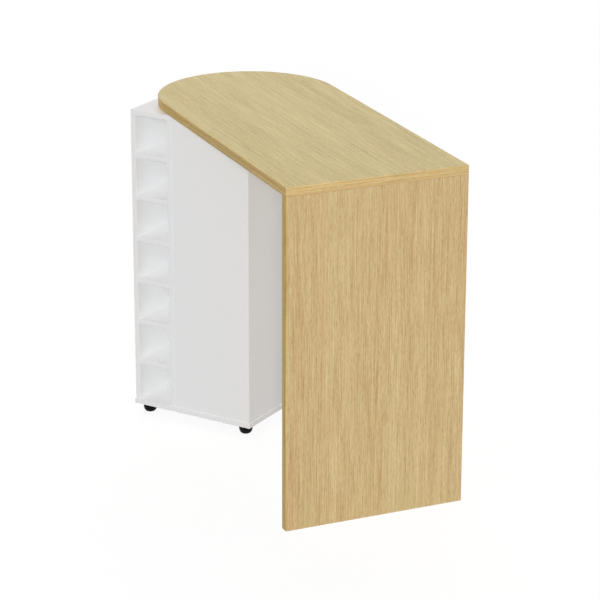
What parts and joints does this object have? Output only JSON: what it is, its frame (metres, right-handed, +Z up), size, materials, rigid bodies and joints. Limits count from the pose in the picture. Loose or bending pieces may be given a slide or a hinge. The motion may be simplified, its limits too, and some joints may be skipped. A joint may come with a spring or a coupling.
{
  "type": "bar table",
  "caption": "Bar-height table whose half-round oak-decor top and end panel swivel on a white cabinet with a bottle rack and open shelves.",
  "frame": {"origin": "on the floor, under the middle of the object's plan box with the top at the pictured angle", "axes": "+X along the cabinet's front from the bottle rack to the right side, +Y into the cabinet's depth, +Z up"},
  "size_m": [1.2363, 1.0825, 1.0502],
  "materials": {
    "oak_decor": "oak-decor melamine on chipboard, fine straight grain, satin",
    "oak_edging": "oak-decor edging strip, lengthwise grain, satin",
    "white_melamine": "white melamine on chipboard, satin",
    "black_plastic": "moulded, slightly glossy",
    "nylon": "natural nylon",
    "beech": "bare turned beech",
    "zinc": "zinc-plated steel"
  },
  "bodies": {
    "cabinet": {"cabinet_bottom": "white_melamine", "cabinet_top": "white_melamine", "rack_side_panel": "white_melamine", "rack_partition": "white_melamine", "right_side_panel": "white_melamine", "bottle_shelf_1": "white_melamine", "bottle_shelf_2": "white_melamine", "bottle_shelf_3": "white_melamine", "bottle_shelf_4": "white_melamine", "bottle_shelf_5": "white_melamine", "bottle_shelf_6": "white_melamine", "rack_back_panel": "white_melamine", "front_panel": "white_melamine", "bay_shelf_1": "white_melamine", "bay_shelf_2": "white_melamine", "shelf_pin_1": "zinc", "shelf_pin_2": "zinc", "shelf_pin_3": "zinc", "shelf_pin_4": "zinc", "shelf_pin_5": "zinc", "shelf_pin_6": "zinc", "shelf_pin_7": "zinc", "shelf_pin_8": "zinc", "foot_1": "black_plastic", "foot_2": "black_plastic", "foot_3": "black_plastic", "foot_4": "black_plastic", "carcass_screw_1": "zinc", "carcass_screw_2": "zinc", "carcass_screw_3": "zinc", "carcass_screw_4": "zinc", "carcass_screw_5": "zinc", "carcass_screw_6": "zinc", "carcass_dowel_1": "beech", "carcass_dowel_2": "beech", "carcass_dowel_3": "beech", "carcass_dowel_4": "beech", "carcass_dowel_5": "beech", "carcass_dowel_6": "beech", "swivel_bush": "nylon", "glide_pad_1": "nylon", "glide_pad_2": "nylon", "glide_pad_3": "nylon"},
    "table": {"tabletop": "oak_decor", "end_panel": "oak_decor", "top_edge_strip_round": "oak_edging", "top_edge_strip_end": "oak_edging", "panel_edge_strip_left": "oak_edging", "panel_edge_strip_right": "oak_edging", "cam_1": "zinc", "cam_2": "zinc", "cam_3": "zinc", "cam_bolt_1": "zinc", "cam_bolt_2": "zinc", "cam_bolt_3": "zinc", "panel_dowel_1": "beech", "panel_dowel_2": "beech", "swivel_bolt": "zinc", "swivel_insert": "zinc"}
  },
  "joints": [
    {"name": "tabletop_swivel", "type": "hinge", "parent": "cabinet", "child": "table", "pos_m": [-0.33239, 0.25558, 1.0222], "axis": [0, 0, 1], "continuous": true}
  ]
}
